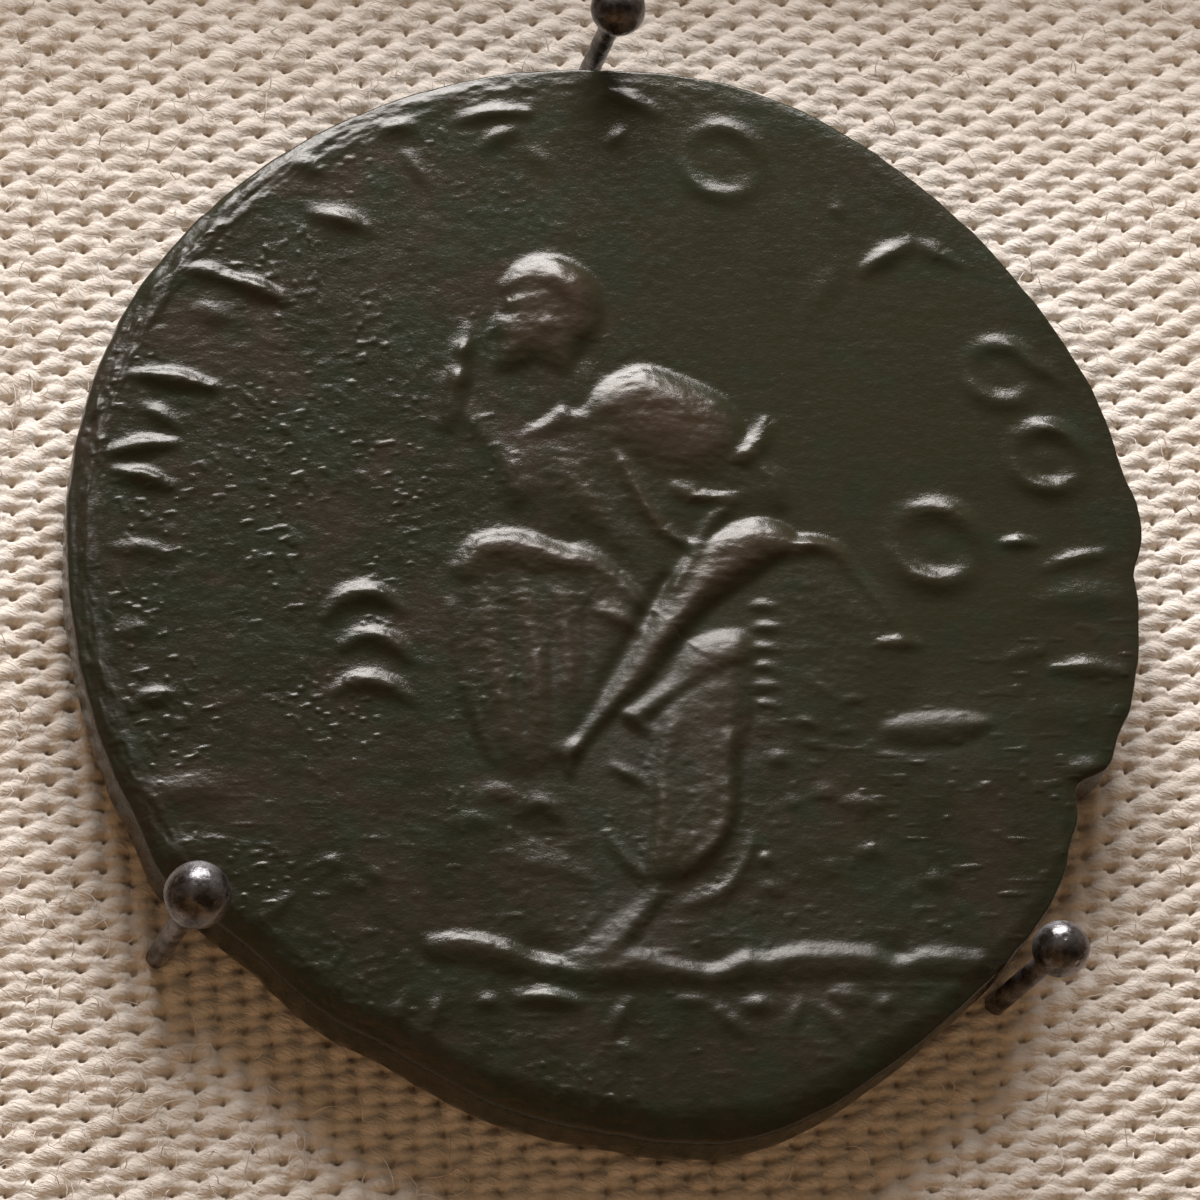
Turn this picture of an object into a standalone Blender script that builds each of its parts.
"""A square display tray for one ancient coin.

A mitred oak frame holds a lift-out pad: a plywood board with a foam sheet on it, wrapped in coarse
linen that is stapled to the board's back. The coin lies on the linen between three ball-headed pins,
which are pushed through the linen and the foam into the board.

Metres, +Z up out of the linen, origin under the middle of the tray's felt underside.
"""

import math

import bmesh
import bpy
from mathutils import Matrix, Vector

MM = 0.001
NAME = "coin_display_tray"

# The frame, from its felt underside up
OUTER = 38 * MM  # half the tray's width
WELL = 30 * MM  # half the width between the rails
FELT_HALF = 36.5 * MM
FELT_THICKNESS = 1.0 * MM
RAIL_BOTTOM = 1.3 * MM
RAIL_TOP = 19.0 * MM
MITRE_GAP = 0.06 * MM
EDGE_ROUND = 0.9 * MM

# The base panel and the rabbet that it sits in
PANEL_HALF = 34.0 * MM
PANEL_THICKNESS = 3.0 * MM
FIT_GAP = 0.3 * MM
PANEL_TOP = RAIL_BOTTOM + PANEL_THICKNESS

# The slips of wood that key each mitre
KEY_LEG = 9.0 * MM
KEY_THICKNESS = 1.2 * MM
KEY_HEIGHT = 10.6 * MM
KEY_SLACK = 0.12 * MM

# The countersunk screws that hold the panel: one pair to a rail
SCREW_LINE = 32.2 * MM
SCREW_SPREAD = 17.0 * MM
SCREW_RADIUS = 0.8 * MM
SCREW_HEAD_RADIUS = 1.7 * MM
SCREW_HEAD_DEPTH = 1.2 * MM
SCREW_LENGTH = 9.5 * MM
SCREW_SINK = 0.2 * MM

# The pad, from its back up to the linen's face
PAD_HALF = 29.5 * MM
PAD_CLEAR = 0.76 * MM  # the staples' crowns lie in this gap
PAD_BOTTOM = PANEL_TOP + PAD_CLEAR
LINEN_THICKNESS = 0.5 * MM
LINEN_TOP = 12.0 * MM
LINEN_ROUND = 0.7 * MM
TURN_IN = 11.0 * MM  # how far the linen reaches over the board's back
CORE_HALF = PAD_HALF - LINEN_THICKNESS - FIT_GAP
BOARD_THICKNESS = 2.5 * MM
BOARD_BOTTOM = PAD_BOTTOM + LINEN_THICKNESS + FIT_GAP
BOARD_TOP = BOARD_BOTTOM + BOARD_THICKNESS
FOAM_BOTTOM = BOARD_TOP + FIT_GAP
FOAM_TOP = LINEN_TOP - LINEN_THICKNESS - FIT_GAP

# The staples through the turned-in linen
STAPLE_CROWN = 6.0 * MM
STAPLE_LEG = 1.9 * MM
STAPLE_WIRE = 0.2 * MM
STAPLE_LINE = 24.0 * MM
STAPLE_SPREAD = 13.0 * MM
STAPLE_HOLE = 0.42 * MM
STAPLE_CLEAR = 0.06 * MM

# The coin: a worn, slightly oval flan
COIN_RADIUS = 16.5 * MM
COIN_THICKNESS = 3.3 * MM
COIN_EDGE = 0.55 * MM
COIN_REST = 0.1 * MM
COIN_POINTS = 120
# Local bulges and dents of the rim: direction in degrees, height in mm, spread in degrees
COIN_RIM_MARKS = (
    (1.0, -0.14, 2.2),
    (7.0, 0.35, 4.5),
    (20.0, 0.20, 11.0),
    (70.0, 0.22, 12.0),
    (150.0, 0.50, 30.0),
    (214.0, 0.24, 4.0),
    (227.0, -0.45, 8.5),
    (243.0, -0.46, 8.0),
    (280.0, 0.85, 15.0),
    (330.0, -0.55, 6.0),
    (334.3, -0.62, 2.4),
    (341.0, -0.20, 4.0),
)

# The pins: name, where each enters the linen, its head's centre above the linen, the head's radius
PINS = (
    ("top", (0.62, 17.75), (0.95, 18.02, 4.4), 0.85),
    ("left", (-13.72, -10.95), (-13.33, -11.50, 6.8), 0.98),
    ("right", (11.22, -12.50), (11.98, -12.54, 5.0), 0.86),
)
PIN_RADIUS = 0.32 * MM
PIN_DEPTH = 6.0 * MM
PIN_POINT = 1.2 * MM
PIN_HOLE_RADIUS = 0.62 * MM
PIN_SOCKET_SLACK = 0.05 * MM
PIN_IN_HEAD = 0.15 * MM

parts = None
cutters = None


def clear_scene():
    for obj in list(bpy.data.objects):
        bpy.data.objects.remove(obj, do_unlink=True)
    for extra in list(bpy.data.collections):
        bpy.data.collections.remove(extra)


def new_collection(name, parent):
    made = bpy.data.collections.new(name)
    parent.children.link(made)
    return made


def new_material(name, colour, roughness, metallic=0.0):
    made = bpy.data.materials.new(name)
    made.use_nodes = True
    shader = made.node_tree.nodes["Principled BSDF"]
    shader.inputs["Base Color"].default_value = (*colour, 1.0)
    shader.inputs["Roughness"].default_value = roughness
    shader.inputs["Metallic"].default_value = metallic
    made.diffuse_color = (*colour, 1.0)
    return made


def add_part(name, data, material):
    obj = bpy.data.objects.new(name, data)
    data.materials.clear()
    data.materials.append(material)
    parts.objects.link(obj)
    return obj


def add_cutter(name, mesh, group):
    obj = bpy.data.objects.new(name, mesh)
    obj.hide_render = True
    obj.display_type = "WIRE"
    group.objects.link(obj)
    return obj


def mesh_from(name, build):
    """A mesh that the function build fills, as a bmesh."""
    work = bmesh.new()
    build(work)
    bmesh.ops.recalc_face_normals(work, faces=work.faces)
    mesh = bpy.data.meshes.new(name)
    work.to_mesh(mesh)
    work.free()
    return mesh


def box_mesh(name, low, high):
    low, high = Vector(low), Vector(high)
    size = Matrix.Diagonal((*(high - low), 1.0))
    place = Matrix.Translation((low + high) / 2) @ size
    return mesh_from(name, lambda work: bmesh.ops.create_cube(work, size=1.0, matrix=place))


def slab_mesh(name, half, bottom, top):
    return box_mesh(name, (-half, -half, bottom), (half, half, top))


def rod_mesh(name, low_radius, high_radius, bottom, top, sides=20):
    """An upright cylinder or cone frustum on the Z axis."""
    place = Matrix.Translation((0, 0, (bottom + top) / 2))

    def build(work):
        bmesh.ops.create_cone(
            work, cap_ends=True, segments=sides, radius1=low_radius, radius2=high_radius,
            depth=top - bottom, matrix=place,
        )

    return mesh_from(name, build)


def cut_with(obj, group):
    cut = obj.modifiers.new("cuts", "BOOLEAN")
    cut.operation = "DIFFERENCE"
    cut.solver = "EXACT"
    cut.operand_type = "COLLECTION"
    cut.collection = group


def round_edges(obj, width, segments=3):
    bevel = obj.modifiers.new("rounded edges", "BEVEL")
    bevel.width = width
    bevel.segments = segments
    bevel.limit_method = "ANGLE"
    bevel.angle_limit = math.radians(50)


def turned_mesh(name, profile):
    """The profile's points joined in a row, ready for a Screw modifier."""
    mesh = bpy.data.meshes.new(name)
    links = [(i, i + 1) for i in range(len(profile) - 1)]
    mesh.from_pydata([(x, 0.0, z) for x, z in profile], links, [])
    return mesh


def turn(obj, steps):
    screw = obj.modifiers.new("turned", "SCREW")
    screw.steps = steps
    screw.render_steps = steps
    screw.use_merge_vertices = True
    screw.merge_threshold = 1e-6
    screw.use_smooth_shade = True


def quarter_turns():
    for quarter in range(4):
        yield quarter, Matrix.Rotation(math.radians(90 * quarter), 4, "Z")


def screw_places():
    """Each screw's number and place in plan, two to a rail."""
    number = 0
    for _, turned in quarter_turns():
        for side in (-1, 1):
            number += 1
            yield number, turned @ Vector((side * SCREW_SPREAD, -SCREW_LINE, 0.0))


def staple_places():
    """Each staple's number and the matrix that carries it from the front edge to its own."""
    number = 0
    for _, turned in quarter_turns():
        for side in (-1, 1):
            number += 1
            yield number, turned @ Matrix.Translation((side * STAPLE_SPREAD, -STAPLE_LINE, 0.0))


def rail_profile():
    """The rail's section as (distance from the tray's middle, height), from the rabbet round."""
    rabbet = PANEL_HALF + FIT_GAP
    lip = 1.5 * MM
    points = [
        (rabbet, RAIL_BOTTOM),
        (rabbet, PANEL_TOP + FIT_GAP),
        (WELL, PANEL_TOP + FIT_GAP),
        (WELL, RAIL_TOP - lip),
    ]
    for step in range(1, 6):  # a quarter round on the edge above the well
        turn_by = math.radians(90 * step / 5)
        points.append(
            (WELL + lip * (1 - math.cos(turn_by)), RAIL_TOP - lip + lip * math.sin(turn_by))
        )
    for step in range(5):  # a smaller one on the outer edge
        turn_by = math.radians(90 * step / 4)
        out = OUTER - EDGE_ROUND + EDGE_ROUND * math.sin(turn_by)
        points.append((out, RAIL_TOP - EDGE_ROUND + EDGE_ROUND * math.cos(turn_by)))
    points.append((OUTER, RAIL_BOTTOM + 0.4 * MM))
    points.append((OUTER - 0.4 * MM, RAIL_BOTTOM))
    return points


def rail_mesh():
    """The section pushed along X, its ends slid out to the mitre planes."""

    def build(work):
        section = [work.verts.new((0.0, -out, up)) for out, up in rail_profile()]
        face = work.faces.new(section)
        pushed = bmesh.ops.extrude_face_region(work, geom=[face])["geom"]
        far = [v for v in pushed if isinstance(v, bmesh.types.BMVert)]
        for ends, side in ((section, -1), (far, 1)):
            for v in ends:
                v.co.x = side * (-v.co.y - MITRE_GAP)

    return mesh_from("rail", build)


def make_rails(oak):
    group = new_collection("rail_cutters", cutters)
    inner = math.sqrt(2) * OUTER - KEY_LEG / math.sqrt(2) - FIT_GAP
    half = KEY_THICKNESS / 2 + KEY_SLACK
    low = (inner, -20 * MM, KEY_HEIGHT - half)
    high = (inner + 20 * MM, 20 * MM, KEY_HEIGHT + half)
    for quarter, turned in quarter_turns():
        kerf = add_cutter(f"kerf_{quarter + 1}", box_mesh("kerf", low, high), group)
        kerf.matrix_world = turned @ Matrix.Rotation(math.radians(45), 4, "Z")
    pilot_top = RAIL_BOTTOM + SCREW_LENGTH + 1.0 * MM
    for number, place in screw_places():
        pilot = rod_mesh("pilot", 1.05 * MM, 1.05 * MM, PANEL_TOP - 1 * MM, pilot_top, 12)
        add_cutter(f"pilot_{number}", pilot, group).location = place
    names = ("rail_front", "rail_right", "rail_back", "rail_left")
    for quarter, turned in quarter_turns():
        rail = add_part(names[quarter], rail_mesh(), oak)
        rail.matrix_world = turned
        cut_with(rail, group)


def make_corner_keys(walnut):
    for quarter, turned in quarter_turns():
        outline = bpy.data.curves.new(f"key_outline_{quarter + 1}", "CURVE")
        outline.dimensions = "2D"
        outline.fill_mode = "BOTH"
        outline.extrude = KEY_THICKNESS / 2
        spline = outline.splines.new("POLY")
        spline.use_cyclic_u = True
        corner = OUTER - 0.02 * MM
        spline.points.add(2)
        ends = ((corner, corner), (corner - KEY_LEG, corner), (corner, corner - KEY_LEG))
        for point, (x, y) in zip(spline.points, ends, strict=True):
            point.co = (x, y, 0.0, 1.0)
        key = add_part(f"corner_key_{quarter + 1}", outline, walnut)
        key.matrix_world = turned @ Matrix.Translation((0, 0, KEY_HEIGHT))


def make_base_panel(birch):
    group = new_collection("panel_cutters", cutters)
    wide = SCREW_HEAD_RADIUS + 0.3 * MM
    narrow = SCREW_RADIUS + 0.3 * MM
    for number, place in screw_places():
        hole = rod_mesh("hole", narrow, narrow, RAIL_BOTTOM - 1 * MM, PANEL_TOP + 1 * MM, 16)
        add_cutter(f"panel_hole_{number}", hole, group).location = place
        sink = rod_mesh(
            "sink", wide, narrow - 0.02 * MM, RAIL_BOTTOM - 0.1 * MM,
            RAIL_BOTTOM + SCREW_HEAD_DEPTH + 0.4 * MM, 20,
        )
        add_cutter(f"countersink_{number}", sink, group).location = place
    panel = add_part("base_panel", slab_mesh("panel", PANEL_HALF, RAIL_BOTTOM, PANEL_TOP), birch)
    cut_with(panel, group)


def make_screws(brass):
    """Each screw points up out of the panel, its slotted head level with the panel's underside."""
    group = new_collection("screw_slots", cutters)
    head = RAIL_BOTTOM + SCREW_SINK
    tip = RAIL_BOTTOM + SCREW_LENGTH
    profile = (
        (0.0, tip),
        (SCREW_RADIUS * 0.8, tip - 1.4 * MM),
        (SCREW_RADIUS, tip - 2.0 * MM),
        (SCREW_RADIUS, head + SCREW_HEAD_DEPTH),
        (SCREW_HEAD_RADIUS, head + 0.2 * MM),
        (SCREW_HEAD_RADIUS, head),
        (0.0, head),
    )
    for number, place in screw_places():
        slot = box_mesh(
            "slot", (-2.2 * MM, -0.22 * MM, head - 1 * MM), (2.2 * MM, 0.22 * MM, head + 0.5 * MM)
        )
        cutter = add_cutter(f"slot_{number}", slot, group)
        cutter.location = place
        cutter.rotation_euler.z = math.radians(37 * number)
        screw = add_part(f"base_screw_{number}", turned_mesh("screw", profile), brass)
        screw.location = place
        turn(screw, 16)
        one = screw.modifiers.new("slot", "BOOLEAN")
        one.operation = "DIFFERENCE"
        one.solver = "EXACT"
        one.object = cutter


def pin_frame(entry, head):
    """The pin's axes: its own +Z runs from where it enters the linen to its head's centre."""
    base = Vector((*entry, 0.0)) * MM + Vector((0, 0, LINEN_TOP))
    centre = Vector(head) * MM + Vector((0, 0, LINEN_TOP))
    along = centre - base
    lean = Vector((0, 0, 1)).rotation_difference(along.normalized())
    return Matrix.Translation(base) @ lean.to_matrix().to_4x4(), along.length


def pin_hole_cutters(group, reach_down):
    for name, entry, head, _ in PINS:
        frame, _ = pin_frame(entry, head)
        hole = rod_mesh("pin_hole", PIN_HOLE_RADIUS, PIN_HOLE_RADIUS, -reach_down, 2 * MM, 12)
        add_cutter(f"{group.name}_{name}", hole, group).matrix_world = frame


def staple_hole_cutters(group):
    for number, place in staple_places():
        for side, end in ((-1, "a"), (1, "b")):
            hole = rod_mesh(
                "leg_hole", STAPLE_HOLE, STAPLE_HOLE, PAD_BOTTOM - 1 * MM,
                PAD_BOTTOM + STAPLE_LEG + 0.5 * MM, 8,
            )
            cutter = add_cutter(f"{group.name}_leg_{number}{end}", hole, group)
            cutter.matrix_world = place @ Matrix.Translation((side * STAPLE_CROWN / 2, 0, 0))


def make_pad(linen, foam, plywood):
    linen_cuts = new_collection("linen_cutters", cutters)
    core = PAD_HALF - LINEN_THICKNESS
    hollow = slab_mesh("hollow", core, PAD_BOTTOM + LINEN_THICKNESS, LINEN_TOP - LINEN_THICKNESS)
    add_cutter("linen_hollow", hollow, linen_cuts)
    bare = PAD_HALF - TURN_IN
    back = slab_mesh("back", bare, PAD_BOTTOM - 1 * MM, PAD_BOTTOM + LINEN_THICKNESS + 1 * MM)
    add_cutter("linen_back_opening", back, linen_cuts)
    pin_hole_cutters(linen_cuts, PIN_DEPTH)
    staple_hole_cutters(linen_cuts)
    cover = add_part("linen_cover", slab_mesh("cover", PAD_HALF, PAD_BOTTOM, LINEN_TOP), linen)
    round_edges(cover, LINEN_ROUND)
    cut_with(cover, linen_cuts)

    foam_cuts = new_collection("foam_cutters", cutters)
    pin_hole_cutters(foam_cuts, PIN_DEPTH + 1 * MM)
    sheet = add_part("pad_foam", slab_mesh("foam", CORE_HALF, FOAM_BOTTOM, FOAM_TOP), foam)
    cut_with(sheet, foam_cuts)

    board_cuts = new_collection("board_cutters", cutters)
    pin_hole_cutters(board_cuts, PIN_DEPTH + 1 * MM)
    staple_hole_cutters(board_cuts)
    board = add_part("pad_board", slab_mesh("board", CORE_HALF, BOARD_BOTTOM, BOARD_TOP), plywood)
    cut_with(board, board_cuts)


def make_staples(steel):
    """A crown along the pad's edge and two legs up into the board."""
    crown = PAD_BOTTOM - STAPLE_WIRE - STAPLE_CLEAR
    half = STAPLE_CROWN / 2
    bend = 0.35 * MM
    top = crown + STAPLE_LEG
    path = (
        (-half, top), (-half, crown + bend), (-half + bend * 0.3, crown + bend * 0.3),
        (-half + bend, crown), (half - bend, crown), (half - bend * 0.3, crown + bend * 0.3),
        (half, crown + bend), (half, top),
    )
    for number, place in staple_places():
        wire = bpy.data.curves.new(f"staple_wire_{number}", "CURVE")
        wire.dimensions = "3D"
        wire.bevel_depth = STAPLE_WIRE
        wire.bevel_resolution = 2
        wire.use_fill_caps = True
        spline = wire.splines.new("POLY")
        spline.points.add(len(path) - 1)
        for point, (x, z) in zip(spline.points, path, strict=True):
            point.co = (x, 0.0, z, 1.0)
        staple = add_part(f"staple_{number}", wire, steel)
        staple.matrix_world = place


def make_pins(steel):
    """Each pin is a pointed shank with a ball fixed on its end; its empty lies on its own axis."""
    for name, entry, head, radius in PINS:
        frame, reach = pin_frame(entry, head)
        axis = bpy.data.objects.new(f"pin_{name}_axis", None)
        axis.matrix_world = frame
        parts.objects.link(axis)
        top = reach + PIN_IN_HEAD
        shank_profile = (
            (0.0, top),
            (PIN_RADIUS, top),
            (PIN_RADIUS, -PIN_DEPTH + PIN_POINT),
            (0.0, -PIN_DEPTH),
        )
        shank = add_part(f"pin_shank_{name}", turned_mesh("shank", shank_profile), steel)
        shank.parent = axis
        turn(shank, 12)
        ball = add_part(f"pin_head_{name}", turned_mesh("head", head_profile(reach, radius)), steel)
        ball.parent = axis
        turn(ball, 24)


def head_profile(reach, radius_mm):
    """A ball at the height reach, with a socket in its underside for the shank."""
    radius = radius_mm * MM
    socket = PIN_RADIUS + PIN_SOCKET_SLACK
    lowest = math.acos(-math.sqrt(radius**2 - socket**2) / radius)
    steps = 14
    points = [(0.0, reach + radius)]
    for step in range(1, steps + 1):
        down = lowest * step / steps
        points.append((radius * math.sin(down), reach + radius * math.cos(down)))
    roof = reach + PIN_IN_HEAD + PIN_SOCKET_SLACK
    return [*points, (socket, roof), (0.0, roof)]


def coin_radius(degrees):
    """The worn rim's distance from the coin's middle: a slight oval with bulges and dents."""
    radius = COIN_RADIUS + 0.42 * MM * math.cos(2 * math.radians(degrees - 80))
    for at, height, spread in COIN_RIM_MARKS:
        away = (degrees - at + 180) % 360 - 180
        radius += height * MM * math.exp(-((away / spread) ** 2))
    return radius


def make_coin(bronze):
    outline = bpy.data.curves.new("coin_outline", "CURVE")
    outline.dimensions = "2D"
    outline.fill_mode = "BOTH"
    outline.bevel_depth = COIN_EDGE
    outline.bevel_resolution = 2
    outline.extrude = COIN_THICKNESS / 2 - COIN_EDGE
    spline = outline.splines.new("POLY")
    spline.use_cyclic_u = True
    spline.points.add(COIN_POINTS - 1)
    for index, point in enumerate(spline.points):
        degrees = 360 * index / COIN_POINTS
        inside = coin_radius(degrees) - COIN_EDGE
        around = math.radians(degrees)
        point.co = (inside * math.cos(around), inside * math.sin(around), 0.0, 1.0)
    coin = add_part("coin", outline, bronze)
    coin.location.z = LINEN_TOP + COIN_REST + COIN_THICKNESS / 2


def main():
    global parts, cutters
    clear_scene()
    scene = bpy.context.scene
    scene.unit_settings.system = "METRIC"
    parts = new_collection(NAME, scene.collection)
    cutters = new_collection("cutters", scene.collection)
    oak = new_material("oak", (0.36, 0.22, 0.11), 0.45)
    walnut = new_material("walnut", (0.11, 0.06, 0.035), 0.5)
    birch = new_material("birch_plywood", (0.62, 0.47, 0.30), 0.6)
    brass = new_material("brass", (0.72, 0.53, 0.25), 0.3, 1.0)
    felt = new_material("green_felt", (0.03, 0.10, 0.06), 0.95)
    linen = new_material("linen", (0.62, 0.52, 0.42), 0.9)
    foam = new_material("white_foam", (0.82, 0.82, 0.80), 0.8)
    plywood = new_material("pad_plywood", (0.55, 0.42, 0.28), 0.65)
    steel = new_material("staple_steel", (0.55, 0.55, 0.56), 0.35, 1.0)
    pin_steel = new_material("dark_pin_steel", (0.12, 0.11, 0.11), 0.35, 1.0)
    bronze = new_material("bronze_patina", (0.035, 0.034, 0.024), 0.5, 0.4)
    add_part("underside_felt", slab_mesh("felt", FELT_HALF, 0.0, FELT_THICKNESS), felt)
    make_base_panel(birch)
    make_screws(brass)
    make_rails(oak)
    make_corner_keys(walnut)
    make_pad(linen, foam, plywood)
    make_staples(steel)
    make_pins(pin_steel)
    make_coin(bronze)


main()
